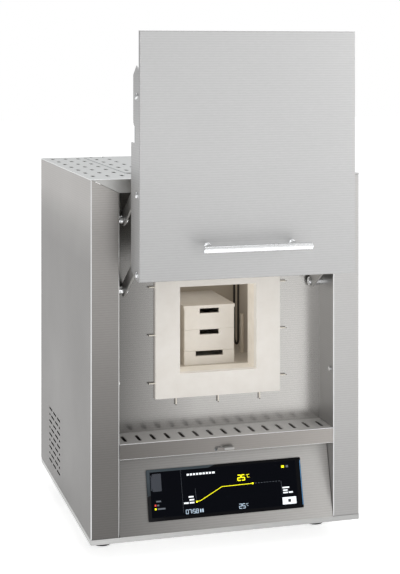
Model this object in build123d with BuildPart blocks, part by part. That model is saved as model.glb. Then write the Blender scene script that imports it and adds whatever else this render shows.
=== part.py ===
"""Table-top sintering furnace with a lift door on parallel arms.

The furnace stands on four feet. X runs across it, the front faces -Y and Z is up.
The door is modelled open, lifted in front of the casing. All sizes are in mm.
"""

import os
from math import atan2, cos, degrees, hypot, radians, sin, tan

from build123d import *

os.makedirs("parts", exist_ok=True)

# Casing
body_width = 385
body_depth = 395
body_height = 487.4
base_thickness = 7
sheet = 1.2
bend_radius = 2
foot_height = 30
foot_radius = 12.5
foot_pad_height = 12
foot_stud_radius = 4
foot_inset_x = 34
foot_inset_y = 89
pillar_width = 39.3
header_height = 18.8
mitre_gap = 0.5
seam = 0.5

# Recess, shelf and control panel at the front
recess_depth = 54.6
shelf_height = 131.6
shelf_lip_height = 21.3
shelf_lip_return = 6
shelf_slot_count = 15
shelf_slot_margin = 11.5
shelf_slot_length = 27
shelf_slot_width = 5
shelf_slot_front = 11.5
fascia_slope = 14.4
fascia_top_height = 118
fascia_foot = 14
display_width = 222.5
display_height = 67.5
display_thickness = 2.4
display_proud = 3
display_centre = 49.8
display_x = -1
display_window_margin = 5
controller_depth = 20
flap_width = 12.5
flap_height = 23
flap_thickness = 1.4
flap_x = -106.5
flap_rise = 16.5
flap_gap = 0.2
flap_barrel_radius = 0.9
flap_barrel_length = 15
flap_pin_radius = 0.4
flap_post_half = 0.8
flap_edge_gap = 1.5

# Fibre insulation, chamber and what is in it
chamber_opening_width = 112
chamber_opening_height = 120.6
chamber_floor_height = 209.6
collar_border_side = 35.4
collar_border_low = 33.5
collar_border_top = 32.3
collar_proud = 6.2
collar_back = 60
collar_clearance = 0.4
tunnel_length = 40
chamber_width = 152
chamber_height = 135
chamber_depth = 137
board_side_gap = 47.5
board_floor_height = 151.2
board_top_height = 440
back_board_thickness = 65
pin_radius = 0.8
pin_reach = 10
pin_inset = 1.4
pin_spacing_z = 66.8
pin_spacing_x = 61.4
pin_drop = 4.4
element_x = 61.5
element_depth = 160
element_leg_spacing = 20
element_radius = 1.65
element_low_height = 222.5
element_top_height = 461
element_hole_clearance = 0.8
holder_size = (16, 34, 14)
bus_bar_width = 10
bus_bar_thickness = 3
terminal_length = 18
inlet_x = 67.8
inlet_depth = 153
inlet_radius = 3.4
inlet_bore_radius = 2
inlet_top_height = 268
thermocouple_height = 316
thermocouple_radius = 3
thermocouple_tip_depth = 190
thermocouple_head = (30, 16, 24)

# Stacked sintering boxes
tray_width = 75.6
tray_length = 118
tray_height = 30.5
tray_low_height = 19.6
tray_lid_thickness = 4.4
tray_wall = 5
tray_front_depth = 93.5
tray_step = 0.3
tray_foot_chamfer = 0.6
tray_lid_overhang = 0.8
tray_window_width = 29
tray_window_height = 7.2
tray_low_window_width = 41

# Door and its arms
door_side_gap = 5.2
door_height = 322
door_bottom_gap = 9.6
door_inset = 2.4
door_return = 10
door_corner_radius = 3
flange_depth = 47
flange_upper_depth = 35
flange_top_height = 277
flange_notch_depth = 24
plug_width = 190
plug_height = 201
plug_rise = 29
plug_gap = 0.3
plug_frame_depth = 28
handle_length = 147
handle_radius = 5
handle_stand_off = 36
handle_rise = 44
handle_post_spacing = 116
handle_post_radius = 3
arm_length = 146.4
arm_width = 18
arm_thickness = 3
arm_open_angle = 32.2
arm_closed_angle = 78.4
arm_spacing = 97
arm_gap = 6
pivot_height = 331
pivot_depth = 43.5
pivot_radius = 4
pivot_bore_clearance = 0.05
spacer_radius = 6
clip_radius = 6
clip_thickness = 2.4
bracket_thickness = 2
bracket_depth = 30
bracket_front = 3
bracket_height = 250
bolt_radius = 4.4
bolt_head = 3
bolt_heights = (8.3, 110.5, 237.3)
bolt_depth = 12.7

# Door switch and stop screws in the recess
door_switch_size = (7, 19, 28)
stop_screw_depth = 11
stop_screw_height = 212
stop_screw_radius = 3.4

# Air slider under the shelf
slider_slot_length = 23.3
slider_slot_height = 2.2
slider_slot_x = -8.1
slider_drop = 14
slider_key_radius = 2.3
slider_key_shift = 1.4
slider_key_drop = 3
slider_travel = 12
slider_thickness = 1.5
slider_neck_width = 10
slider_tab_width = 14
slider_tab_reach = 9
slider_tab_drop = 1.6
slider_plate = (18, 8.4)

# Ventilation
vent_rows = 9
vent_pitch = 9.9
vent_top_height = 106.5
vent_slot_length = 25
vent_slot_height = 3
vent_column_pitch = 33
vent_middle_depth = 272.5
top_hole_width = 5
top_hole_length = 16
top_hole_corner = 2
top_hole_columns = (13.3, 33.6, 54)
top_hole_rows = 7
top_hole_pitch = 52.2
top_hole_first = 50.5
cover_side_margin = 66
cover_front_depth = 77
cover_back_depth = 385
cover_corner_radius = 9
cover_hole_columns = (10.5, 30.8)
cover_hole_rows = 6
cover_hole_pitch = 51.2
cover_hole_first = 44
back_vent_rows = 6
back_vent_columns = 5
back_vent_slot = (40, 4)
back_vent_pitch = (54, 11)
back_vent_drop = 70

# Machinery in the base and on the back panel
fan_size = 80
fan_depth = 25
fan_side_inset = 82.5
fan_height = 66
fan_hub_radius = 17
fan_bore_radius = 37.5
fan_tip_gap = 1
fan_blades = 7
guard_rings = 4
guard_ring_pitch = 8
guard_wire_radius = 0.9
guard_screw_radius = 3
inlet_plate = (50, 28)
socket_side_inset = 122.5
socket_height = 66
socket_plate_thickness = 2
switch_side_inset = 74.5
switch_plate = (34, 26)
rocker_radius = 8.4
rocker_width = 20
rocker_tilt = 11
transformer_size = (90, 72, 92)
transformer_place = (-25, 186)
transformer_limb = 18
coil_size = (62, 96, 55.4)
heat_sink_size = (70, 100)
heat_sink_place = (95, 200)
heat_sink_base = 8
heat_sink_height = 40
fin_count = 8
fin_thickness = 3
thyristor_size = (50, 60, 28)

# Places that follow from the sizes above. Depths are measured back from the front of the casing.
pin_setback = pivot_depth - arm_length * cos(radians(arm_closed_angle)) - door_inset
door_forward = arm_length * cos(radians(arm_open_angle)) + pin_setback - pivot_depth
door_lift = arm_length * (sin(radians(arm_open_angle)) + sin(radians(arm_closed_angle)))
door_reach = door_forward + handle_stand_off + handle_radius
front_y = (door_reach - body_depth - socket_plate_thickness) / 2
back_y = front_y + body_depth
floor_z = foot_height
base_top_z = floor_z + base_thickness
top_z = floor_z + body_height
half_width = body_width / 2
fan_x = -half_width + fan_side_inset
socket_x = half_width - socket_side_inset
switch_x = half_width - switch_side_inset
recess_half_width = half_width - pillar_width
recess_y = front_y + recess_depth
shelf_slot_pitch = 2 * (recess_half_width - shelf_slot_margin) / (shelf_slot_count - 1)
shelf_z = floor_z + shelf_height
header_z = top_z - header_height
door_front_y = front_y - door_forward
door_closed_z = shelf_z + door_bottom_gap
door_z = door_closed_z + door_lift
pivot_y = front_y + pivot_depth
pivot_z = floor_z + pivot_height
pin_y = pivot_y - arm_length * cos(radians(arm_open_angle))
pin_z = pivot_z + arm_length * sin(radians(arm_open_angle))
flange_x = recess_half_width - door_side_gap
door_width = 2 * flange_x
bracket_x = flange_x - sheet
arm_x = bracket_x - bracket_thickness - arm_gap
chamber_floor_z = floor_z + chamber_floor_height
opening_top_z = chamber_floor_z + chamber_opening_height
collar_y = recess_y - collar_proud
collar_half_width = chamber_opening_width / 2 + collar_border_side
collar_low_z = chamber_floor_z - collar_border_low
collar_top_z = opening_top_z + collar_border_top
board_front_y = front_y + collar_back
chamber_front_y = collar_y + tunnel_length
chamber_back_y = chamber_front_y + chamber_depth
board_low_z = floor_z + board_floor_height
board_top_z = floor_z + board_top_height
chamber_top_z = chamber_floor_z + chamber_height
panel_plane = Plane(
    origin=(0, front_y, base_top_z),
    x_dir=(1, 0, 0),
    z_dir=(0, -cos(radians(fascia_slope)), sin(radians(fascia_slope))),
)


def save(piece, name):
    """Label a finished piece and write it to its own file."""
    piece.part.label = name
    export_step(piece.part, f"parts/{name}.step")


def depth(y):
    """The Y of a point that lies y behind the front of the casing."""
    return front_y + y


def block(x_range, y_range, z_range, mode=Mode.ADD):
    """A rectangular solid between two corners."""
    centre = [(low + high) / 2 for low, high in (x_range, y_range, z_range)]
    size = [high - low for low, high in (x_range, y_range, z_range)]
    with Locations(tuple(centre)):
        Box(*size, mode=mode)


def rod(start, direction, radius, length, mode=Mode.ADD):
    """A round bar that starts at a point and runs along a direction."""
    with BuildSketch(Plane(origin=start, z_dir=direction)) as profile:
        Circle(radius)
    extrude(profile.sketch, amount=length, mode=mode)


# Base pan: a shallow tray turned upside down, with the feet under it
foot_places = [
    (side * (half_width - foot_inset_x), depth(y))
    for side in (-1, 1)
    for y in (foot_inset_y, body_depth - foot_inset_y)
]
with BuildPart() as base_pan:
    with BuildSketch(Plane.XY.offset(floor_z)):
        with Locations((0, (front_y + back_y) / 2)):
            Rectangle(body_width, body_depth)
    extrude(amount=base_thickness)
    fillet(base_pan.edges().filter_by(Axis.Z), bend_radius)
    offset(amount=-sheet, openings=base_pan.faces().sort_by(Axis.Z)[0])
save(base_pan, "base_pan")

foot_top_z = base_top_z - sheet
with BuildPart() as foot_pads:
    for x, y in foot_places:
        with BuildSketch(Plane.XY):
            with Locations((x, y)):
                Circle(foot_radius)
        extrude(amount=foot_pad_height, taper=6)
save(foot_pads, "foot_pads")

with BuildPart() as foot_studs:
    for x, y in foot_places:
        rod((x, y, foot_pad_height), (0, 0, 1), foot_stud_radius, foot_top_z - foot_pad_height)
        with BuildSketch(Plane.XY.offset(foot_top_z - foot_stud_radius)):
            with Locations((x, y)):
                RegularPolygon(radius=foot_stud_radius * 2, side_count=6)
        extrude(amount=foot_stud_radius)
save(foot_studs, "foot_studs")


def vent_slots():
    """Rows of cooling slots, staggered like brickwork, cut through a side wall."""
    gap = vent_column_pitch - vent_slot_length
    half_slot = (vent_slot_length - gap) / 2
    half_slot_shift = vent_column_pitch + gap / 2 + half_slot / 2
    for row in range(vent_rows):
        z = floor_z + vent_top_height - row * vent_pitch
        if row % 2 == 0:
            slots = [(column * vent_column_pitch, vent_slot_length) for column in (-1, 0, 1)]
        else:
            slots = [(side * vent_column_pitch / 2, vent_slot_length) for side in (-1, 1)]
            slots += [(side * half_slot_shift, half_slot) for side in (-1, 1)]
        for shift, length in slots:
            with Locations((0, depth(vent_middle_depth + shift), z)):
                Box(body_width + 1, length, vent_slot_height, mode=Mode.SUBTRACT)


def side_panel(side):
    """One side wall, folded at the front into a pillar and the wall of the recess."""
    outline = [
        (0, 0),
        (pillar_width, 0),
        (pillar_width, recess_depth),
        (pillar_width - sheet, recess_depth),
        (pillar_width - sheet, sheet),
        (sheet, sheet),
        (sheet, body_depth),
        (0, body_depth),
    ]
    with BuildPart() as panel:
        with BuildSketch(Plane.XY.offset(base_top_z + seam)):
            with BuildLine():
                Polyline(*[(side * (half_width - x), depth(y)) for x, y in outline], close=True)
            make_face()
        extrude(amount=top_z - sheet - base_top_z - seam)
        front_edges = panel.edges().filter_by(Axis.Z).group_by(Axis.Y)[0]
        fillet(front_edges, bend_radius)
        with BuildSketch(Plane.XZ.offset(-front_y)):
            with BuildLine():
                corner_x = side * half_width
                inner_x = side * (recess_half_width - 1)
                mitre_z = header_z - mitre_gap
                Polyline((corner_x, top_z), (inner_x, top_z), (inner_x, mitre_z),
                         (side * recess_half_width, mitre_z), (corner_x, top_z - mitre_gap), close=True)
            make_face()
        extrude(amount=-(sheet + mitre_gap), mode=Mode.SUBTRACT)
        vent_slots()
    return panel


left_side_panel = side_panel(-1)
save(left_side_panel, "left_side_panel")
right_side_panel = side_panel(1)
save(right_side_panel, "right_side_panel")

# Top cover: a perforated sheet with a mitred header folded down between the pillars
cover_half_width = half_width - cover_side_margin
cover_width = 2 * cover_half_width
with BuildPart() as top_cover:
    with BuildSketch(Plane.XY.offset(top_z - sheet)):
        with Locations((0, (front_y + back_y) / 2)):
            Rectangle(body_width, body_depth)
        opening_margin = 6
        with Locations((0, depth((cover_front_depth + cover_back_depth) / 2))):
            Rectangle(cover_width - 2 * opening_margin,
                      cover_back_depth - cover_front_depth - 2 * opening_margin, mode=Mode.SUBTRACT)
        for row in range(top_hole_rows):
            for column in top_hole_columns:
                for side in (-1, 1):
                    with Locations((side * (half_width - column),
                                    depth(top_hole_first + row * top_hole_pitch))):
                        RectangleRounded(top_hole_width, top_hole_length, top_hole_corner, mode=Mode.SUBTRACT)
    extrude(amount=sheet)
    with BuildSketch(Plane.XZ.offset(-front_y)):
        with BuildLine():
            Polyline((-half_width, top_z), (half_width, top_z),
                     (recess_half_width, header_z), (-recess_half_width, header_z), close=True)
        make_face()
    extrude(amount=-sheet)
    fillet(top_cover.edges().filter_by(Axis.X).group_by(Axis.Z)[-1].sort_by(Axis.Y)[0], bend_radius / 2)
save(top_cover, "top_cover")

with BuildPart() as element_cover:
    with BuildSketch(Plane.XY.offset(top_z)):
        with Locations((0, depth((cover_front_depth + cover_back_depth) / 2))):
            RectangleRounded(cover_width, cover_back_depth - cover_front_depth, cover_corner_radius)
        for row in range(cover_hole_rows):
            for column in cover_hole_columns:
                for side in (-1, 1):
                    with Locations((side * (cover_half_width - column),
                                    depth(cover_front_depth + cover_hole_first + row * cover_hole_pitch))):
                        RectangleRounded(top_hole_width, top_hole_length, top_hole_corner, mode=Mode.SUBTRACT)
    extrude(amount=sheet)
save(element_cover, "element_cover")

# Back panel between the side walls, with vents and cut-outs for the fan, socket and switch
fan_z = floor_z + fan_height
socket_z = floor_z + socket_height
with BuildPart() as back_panel:
    with BuildSketch(Plane.XZ.offset(-(back_y - sheet))):
        with BuildLine():
            low_z, high_z = base_top_z, top_z - sheet
            Polyline((-half_width + sheet, low_z), (half_width - sheet, low_z),
                     (half_width - sheet, high_z), (-half_width + sheet, high_z), close=True)
        make_face()
        with Locations((fan_x, fan_z)):
            Circle(fan_bore_radius, mode=Mode.SUBTRACT)
        with Locations((socket_x, socket_z)):
            Rectangle(inlet_plate[0] - 16, inlet_plate[1] - 6, mode=Mode.SUBTRACT)
        with Locations((switch_x, socket_z)):
            Rectangle(switch_plate[0] - 6, switch_plate[1] - 5, mode=Mode.SUBTRACT)
        with Locations((0, top_z - back_vent_drop)):
            with GridLocations(*back_vent_pitch, back_vent_columns, back_vent_rows):
                Rectangle(*back_vent_slot, mode=Mode.SUBTRACT)
    extrude(amount=-sheet)
save(back_panel, "back_panel")

# Wire guard that closes the fan's hole
with BuildPart() as fan_guard:
    guard_plane = Plane.XZ.offset(-back_y)
    guard_outer_radius = fan_bore_radius - 2 * guard_wire_radius
    guard_inner_radius = guard_outer_radius - (guard_rings - 1) * guard_ring_pitch
    guard_screw_circle = fan_bore_radius + guard_screw_radius / 2
    with BuildSketch(guard_plane):
        for n in range(guard_rings):
            ring_radius = guard_outer_radius - n * guard_ring_pitch
            with Locations((fan_x, fan_z)):
                Circle(ring_radius + guard_wire_radius)
                Circle(ring_radius - guard_wire_radius, mode=Mode.SUBTRACT)
        with Locations((fan_x, fan_z)):
            with PolarLocations((guard_inner_radius + guard_screw_circle) / 2, 4, start_angle=45):
                Rectangle(guard_screw_circle - guard_inner_radius, 2 * guard_wire_radius)
            with PolarLocations(guard_screw_circle, 4, start_angle=45):
                Circle(guard_screw_radius)
    extrude(amount=-1.5)
save(fan_guard, "fan_guard")

# Back wall of the recess, with the opening that the insulation collar comes through
with BuildPart() as front_panel:
    with BuildSketch(Plane.XZ.offset(-(recess_y - sheet))):
        with BuildLine():
            low_z = floor_z + fascia_top_height
            Polyline((-recess_half_width, low_z), (recess_half_width, low_z),
                     (recess_half_width, top_z - sheet), (-recess_half_width, top_z - sheet), close=True)
        make_face()
        with Locations((0, (collar_low_z + collar_top_z) / 2)):
            Rectangle(2 * (collar_half_width + collar_clearance),
                      collar_top_z - collar_low_z + 2 * collar_clearance, mode=Mode.SUBTRACT)
    extrude(amount=-sheet)
save(front_panel, "front_panel")

# Slotted shelf with a folded lip and the slot for the air slider
shelf_half_width = recess_half_width - seam
lip_z = shelf_z - shelf_lip_height
slider_z = shelf_z - slider_drop
with BuildPart() as vent_shelf:
    with BuildSketch(Plane.YZ.offset(-shelf_half_width)):
        with BuildLine():
            Polyline((depth(0), shelf_z), (recess_y - sheet, shelf_z), (recess_y - sheet, shelf_z - sheet),
                     (depth(sheet), shelf_z - sheet), (depth(sheet), lip_z + sheet),
                     (depth(shelf_lip_return), lip_z + sheet), (depth(shelf_lip_return), lip_z),
                     (depth(0), lip_z), close=True)
        make_face()
    extrude(amount=2 * shelf_half_width)
    front_bends = vent_shelf.edges().filter_by(Axis.X).group_by(Axis.Y)[0]
    fillet(front_bends, bend_radius / 1.5)
    with BuildSketch(Plane.XY.offset(shelf_z)):
        with Locations((0, depth(shelf_slot_front + shelf_slot_length / 2))):
            with GridLocations(shelf_slot_pitch, 1, shelf_slot_count, 1):
                SlotOverall(shelf_slot_length, shelf_slot_width, rotation=90)
    extrude(amount=-sheet, mode=Mode.SUBTRACT)
    with BuildSketch(Plane.XZ.offset(-front_y)):
        with Locations((slider_slot_x, slider_z)):
            SlotOverall(slider_slot_length, slider_slot_height)
        with Locations((slider_slot_x - slider_slot_length / 2 + slider_key_shift,
                        slider_z - slider_key_drop)):
            Circle(slider_key_radius)
    extrude(amount=-sheet, mode=Mode.SUBTRACT)
save(vent_shelf, "vent_shelf")

# Air slider: a plate behind the lip, a neck through the slot and a bent tab in front
neck_right_x = slider_slot_x + slider_slot_length / 2 - seam
neck_x = neck_right_x - slider_neck_width / 2
slider_running_gap = 0.3
with BuildPart() as air_slider:
    plate_y = depth(sheet + slider_running_gap)
    block((neck_x - slider_plate[0] / 2, neck_x + slider_plate[0] / 2),
          (plate_y, plate_y + slider_thickness),
          (slider_z - slider_plate[1] / 2, slider_z + slider_plate[1] / 2))
    neck_z = (slider_z - slider_thickness / 2, slider_z + slider_thickness / 2)
    block((neck_x - slider_neck_width / 2, neck_x + slider_neck_width / 2),
          (depth(-slider_running_gap), plate_y), neck_z)
    with BuildSketch(Plane.YZ.offset(neck_x - slider_tab_width / 2)):
        with BuildLine():
            tab_y = depth(-slider_tab_reach)
            Polyline((depth(-slider_running_gap), neck_z[1]), (depth(-slider_running_gap), neck_z[0]),
                     (tab_y + slider_thickness, neck_z[0]),
                     (tab_y + slider_thickness / 2, neck_z[0] - slider_tab_drop),
                     (tab_y - slider_thickness / 2, neck_z[0] - slider_tab_drop),
                     (tab_y, neck_z[1]), close=True)
        make_face()
    extrude(amount=slider_tab_width)
    fillet(air_slider.edges().filter_by(Axis.X).group_by(Axis.Y)[0], slider_thickness / 3)
save(air_slider, "air_slider")

# Two rails that hold the slider's plate against the back of the lip
with BuildPart() as slider_rails:
    rail_half_length = slider_plate[0] / 2 + slider_travel
    rail_x = neck_x - slider_travel / 2
    rail_y = depth(sheet + 2 * slider_running_gap + slider_thickness)
    for up in (-1, 1):
        edge_z = slider_z + up * (slider_plate[1] / 2 + slider_running_gap)
        outer_z = edge_z + up * sheet
        inner_z = edge_z - up * sheet
        block((rail_x - rail_half_length, rail_x + rail_half_length),
              (depth(sheet), rail_y + sheet), sorted((edge_z, outer_z)))
        block((rail_x - rail_half_length, rail_x + rail_half_length),
              (rail_y, rail_y + sheet), sorted((edge_z, inner_z)))
save(slider_rails, "slider_rails")

# Sloping control fascia with the display window
slope = radians(fascia_slope)
fascia_rise = fascia_top_height - base_thickness
fascia_top_y = depth(fascia_rise * tan(slope))
skin = sheet / cos(slope)
with BuildPart() as control_fascia:
    with BuildSketch(Plane.YZ.offset(-shelf_half_width)):
        with BuildLine():
            top = floor_z + fascia_top_height
            fold_y = depth(sheet * tan(slope)) + skin
            Polyline((depth(0), base_top_z), (fascia_top_y, top), (recess_y, top),
                     (recess_y, top - sheet), (fascia_top_y + skin - sheet * tan(slope), top - sheet),
                     (fold_y, base_top_z + sheet), (depth(fascia_foot), base_top_z + sheet),
                     (depth(fascia_foot), base_top_z), close=True)
        make_face()
    extrude(amount=2 * shelf_half_width)
    with BuildSketch(panel_plane):
        with Locations((display_x, display_centre)):
            Rectangle(display_width - 2 * display_window_margin, display_height - 2 * display_window_margin)
    extrude(amount=-2 * sheet, mode=Mode.SUBTRACT)
save(control_fascia, "control_fascia")

# Touch display: a glass front over a frame, and the controller behind it
with BuildPart() as display_frame:
    with BuildSketch(panel_plane):
        with Locations((display_x, display_centre)):
            RectangleRounded(display_width - 1, display_height - 1, 1)
            Rectangle(display_width - 2 * display_window_margin - 4,
                      display_height - 2 * display_window_margin - 4, mode=Mode.SUBTRACT)
    extrude(amount=display_proud - display_thickness)
save(display_frame, "display_frame")

with BuildPart() as display_glass:
    with BuildSketch(panel_plane.offset(display_proud - display_thickness)):
        with Locations((display_x, display_centre)):
            RectangleRounded(display_width, display_height, 1.5)
    extrude(amount=display_thickness)
    chamfer(display_glass.faces().sort_by(Axis.Y)[0].edges(), 0.5)
save(display_glass, "display_glass")

with BuildPart() as controller_box:
    window_gap = 0.5
    with BuildSketch(panel_plane.offset(display_proud - display_thickness)):
        with Locations((display_x, display_centre)):
            Rectangle(display_width - 2 * display_window_margin - 2 * window_gap - 4,
                      display_height - 2 * display_window_margin - 2 * window_gap - 4)
    extrude(amount=-controller_depth)
save(controller_box, "controller_box")

# Flap on the display: a plate with a hinge barrel, turning on a pin between two posts
flap_axis_height = display_proud + flap_gap + flap_barrel_radius
flap_foot = panel_plane.from_local_coords((flap_x, display_centre + flap_rise - flap_height / 2,
                                           flap_axis_height))
flap_axis_plane = Plane(origin=flap_foot, x_dir=(1, 0, 0), z_dir=panel_plane.y_dir)
barrel_start = (flap_height - flap_barrel_length) / 2
with BuildPart() as usb_flap:
    with BuildSketch(flap_axis_plane.offset(barrel_start)):
        Circle(flap_barrel_radius)
        with Locations((flap_edge_gap, flap_barrel_radius - flap_thickness / 2)):
            Rectangle(2 * flap_edge_gap, flap_thickness)
        Circle(flap_pin_radius + pivot_bore_clearance, mode=Mode.SUBTRACT)
    extrude(amount=flap_barrel_length)
    with BuildSketch(panel_plane.offset(display_proud + flap_gap)):
        with Locations((flap_x + flap_edge_gap + flap_width / 2, display_centre + flap_rise)):
            RectangleRounded(flap_width, flap_height, 1)
    extrude(amount=flap_thickness)
save(usb_flap, "usb_flap")

with BuildPart() as flap_hinge:
    with BuildSketch(flap_axis_plane.offset(barrel_start - 2)):
        Circle(flap_pin_radius)
    extrude(amount=flap_barrel_length + 4)
    for start in (barrel_start - 2.3, barrel_start + flap_barrel_length + 0.3):
        with BuildSketch(flap_axis_plane.offset(start)):
            with Locations((0, (flap_gap + flap_barrel_radius - flap_post_half) / 2)):
                Rectangle(2 * flap_post_half, flap_axis_height - display_proud + flap_post_half)
        extrude(amount=2)
save(flap_hinge, "flap_hinge")


# Fibre boards around the chamber
def board(x_range, y_range, z_range):
    """One board of the insulation, cut square."""
    with BuildPart() as piece:
        block(x_range, y_range, z_range)
    return piece


board_half = half_width - board_side_gap
board_width = 2 * board_half
chamber_half = chamber_width / 2
tunnel_half = chamber_opening_width / 2
with BuildPart() as insulation_collar:
    with BuildSketch(Plane.XZ.offset(-collar_y)):
        with Locations((0, (collar_low_z + collar_top_z) / 2)):
            Rectangle(2 * collar_half_width, collar_top_z - collar_low_z)
        with Locations((0, (chamber_floor_z + opening_top_z) / 2)):
            Rectangle(chamber_opening_width, chamber_opening_height, mode=Mode.SUBTRACT)
    extrude(amount=-(board_front_y - collar_y))
save(insulation_collar, "insulation_collar")

with BuildPart() as front_board:
    with BuildSketch(Plane.XZ.offset(-board_front_y)):
        with Locations((0, (board_low_z + board_top_z) / 2)):
            Rectangle(board_width, board_top_z - board_low_z)
        with Locations((0, (chamber_floor_z + opening_top_z) / 2)):
            Rectangle(chamber_opening_width, chamber_opening_height, mode=Mode.SUBTRACT)
    extrude(amount=-(chamber_front_y - board_front_y))
save(front_board, "front_board")

chamber_y = (chamber_front_y, chamber_back_y)
left_board = board((-board_half, -chamber_half), chamber_y, (board_low_z, board_top_z))
save(left_board, "left_board")
right_board = board((chamber_half, board_half), chamber_y, (board_low_z, board_top_z))
save(right_board, "right_board")

inlet_y = depth(inlet_depth)
with BuildPart() as floor_board:
    block((-chamber_half, chamber_half), chamber_y, (board_low_z, chamber_floor_z))
    rod((inlet_x, inlet_y, board_low_z), (0, 0, 1), inlet_radius + 0.2,
        chamber_floor_z - board_low_z, mode=Mode.SUBTRACT)
save(floor_board, "floor_board")

element_leg_depths = (element_depth - element_leg_spacing / 2, element_depth + element_leg_spacing / 2)
element_legs = [(side * element_x, depth(y)) for side in (-1, 1) for y in element_leg_depths]
with BuildPart() as roof_board:
    block((-chamber_half, chamber_half), chamber_y, (chamber_top_z, board_top_z))
    with BuildSketch(Plane.XY.offset(chamber_top_z)):
        with Locations(*element_legs):
            Circle(element_radius + element_hole_clearance)
    extrude(amount=board_top_z - chamber_top_z, mode=Mode.SUBTRACT)
save(roof_board, "roof_board")

thermocouple_z = floor_z + thermocouple_height
back_board_y = chamber_back_y + back_board_thickness
with BuildPart() as back_board:
    block((-board_half, board_half), (chamber_back_y, back_board_y), (board_low_z, board_top_z))
    rod((0, chamber_back_y, thermocouple_z), (0, 1, 0), thermocouple_radius + 0.2,
        back_board_thickness, mode=Mode.SUBTRACT)
save(back_board, "back_board")

# Thin ceramic pins that hold the collar, stuck in its edges
with BuildPart() as collar_pins:
    pin_line_y = collar_y + pin_inset
    collar_mid_z = (collar_low_z + collar_top_z) / 2 - pin_drop
    for side in (-1, 1):
        for row in (-1, 0, 1):
            rod((side * collar_half_width, pin_line_y, collar_mid_z + row * pin_spacing_z),
                (side, 0, 0), pin_radius, pin_reach)
        for column in (-1, 0, 1):
            edge_z = collar_top_z if side > 0 else collar_low_z
            rod((column * pin_spacing_x, pin_line_y, edge_z), (0, 0, side), pin_radius, pin_reach)
save(collar_pins, "collar_pins")

# Heating elements: a thin U loop that hangs from the roof on each side of the boxes
element_low_z = floor_z + element_low_height
element_top_z = floor_z + element_top_height
front_leg_y, rear_leg_y = [depth(y) for y in element_leg_depths]
with BuildPart() as heating_elements:
    bend_z = element_low_z + element_leg_spacing / 2
    for side in (-1, 1):
        with BuildLine(Plane.YZ.offset(side * element_x)) as loop:
            Line((front_leg_y, element_top_z), (front_leg_y, bend_z))
            ThreePointArc((front_leg_y, bend_z), (depth(element_depth), element_low_z), (rear_leg_y, bend_z))
            Line((rear_leg_y, bend_z), (rear_leg_y, element_top_z))
        with BuildSketch(Plane(origin=(side * element_x, front_leg_y, element_top_z), z_dir=(0, 0, -1))):
            Circle(element_radius)
        sweep(path=loop.line)
save(heating_elements, "heating_elements")

with BuildPart() as element_holders:
    for side in (-1, 1):
        with Locations((side * element_x, depth(element_depth), board_top_z + holder_size[2] / 2)):
            Box(*holder_size)
    with BuildSketch(Plane.XY.offset(board_top_z)):
        with Locations(*element_legs):
            Circle(element_radius + pivot_bore_clearance)
    extrude(amount=holder_size[2], mode=Mode.SUBTRACT)
save(element_holders, "element_holders")

# Bars on the element ends: one joins the front legs, and a terminal sits on each rear leg
with BuildPart() as bus_bars:
    with BuildSketch(Plane.XY.offset(element_top_z)):
        with Locations((0, front_leg_y)):
            RectangleRounded(2 * element_x + bus_bar_width, bus_bar_width, 3)
        for side in (-1, 1):
            with Locations((side * element_x, rear_leg_y + (terminal_length - bus_bar_width) / 2)):
                RectangleRounded(bus_bar_width, terminal_length, 3)
    extrude(amount=bus_bar_thickness)
save(bus_bars, "bus_bars")

with BuildPart() as air_inlet_tube:
    rod((inlet_x, inlet_y, board_low_z), (0, 0, 1), inlet_radius,
        floor_z + inlet_top_height - board_low_z)
    rod((inlet_x, inlet_y, board_low_z), (0, 0, 1), inlet_bore_radius,
        floor_z + inlet_top_height - board_low_z, mode=Mode.SUBTRACT)
save(air_inlet_tube, "air_inlet_tube")

with BuildPart() as thermocouple:
    tip_y = depth(thermocouple_tip_depth)
    rod((0, tip_y, thermocouple_z), (0, 1, 0), thermocouple_radius, back_board_y - tip_y)
    fillet(thermocouple.faces().sort_by(Axis.Y)[0].edges(), thermocouple_radius * 0.9)
    with Locations((0, back_board_y + thermocouple_head[1] / 2, thermocouple_z)):
        Box(*thermocouple_head)
save(thermocouple, "thermocouple")

# Sheet deck that carries the insulation above the electrical bay
with BuildPart() as deck_plate:
    deck_half = half_width - sheet
    with BuildSketch(Plane.XZ.offset(-recess_y)):
        with BuildLine():
            Polyline((-deck_half, board_low_z), (deck_half, board_low_z), (deck_half, board_low_z - 16),
                     (deck_half - sheet, board_low_z - 16), (deck_half - sheet, board_low_z - sheet),
                     (-deck_half + sheet, board_low_z - sheet), (-deck_half + sheet, board_low_z - 16),
                     (-deck_half, board_low_z - 16), close=True)
        make_face()
    extrude(amount=-(body_depth - recess_depth - sheet))
    rod((inlet_x, inlet_y, board_low_z), (0, 0, -1), inlet_bore_radius, sheet, mode=Mode.SUBTRACT)
save(deck_plate, "deck_plate")


# Sintering boxes, stacked on the chamber floor and closed by a lid
def tray(low_z, height, window_width, step):
    """An open box with a notch in the top of its front wall, a step smaller than the box below."""
    with BuildPart() as box:
        middle_y = depth(tray_front_depth + tray_length / 2)
        with BuildSketch(Plane.XY.offset(low_z)):
            with Locations((0, middle_y)):
                Rectangle(tray_width - 2 * step, tray_length - 2 * step)
        extrude(amount=height)
        fillet(box.edges().filter_by(Axis.Z), 1.5)
        offset(amount=-tray_wall, openings=box.faces().sort_by(Axis.Z)[-1])
        chamfer(box.faces().sort_by(Axis.Z)[0].edges(), tray_foot_chamfer)
        with Locations((0, depth(tray_front_depth + tray_wall / 2),
                        low_z + height - tray_window_height / 2)):
            Box(window_width, tray_wall * 2, tray_window_height, mode=Mode.SUBTRACT)
    return box


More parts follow.
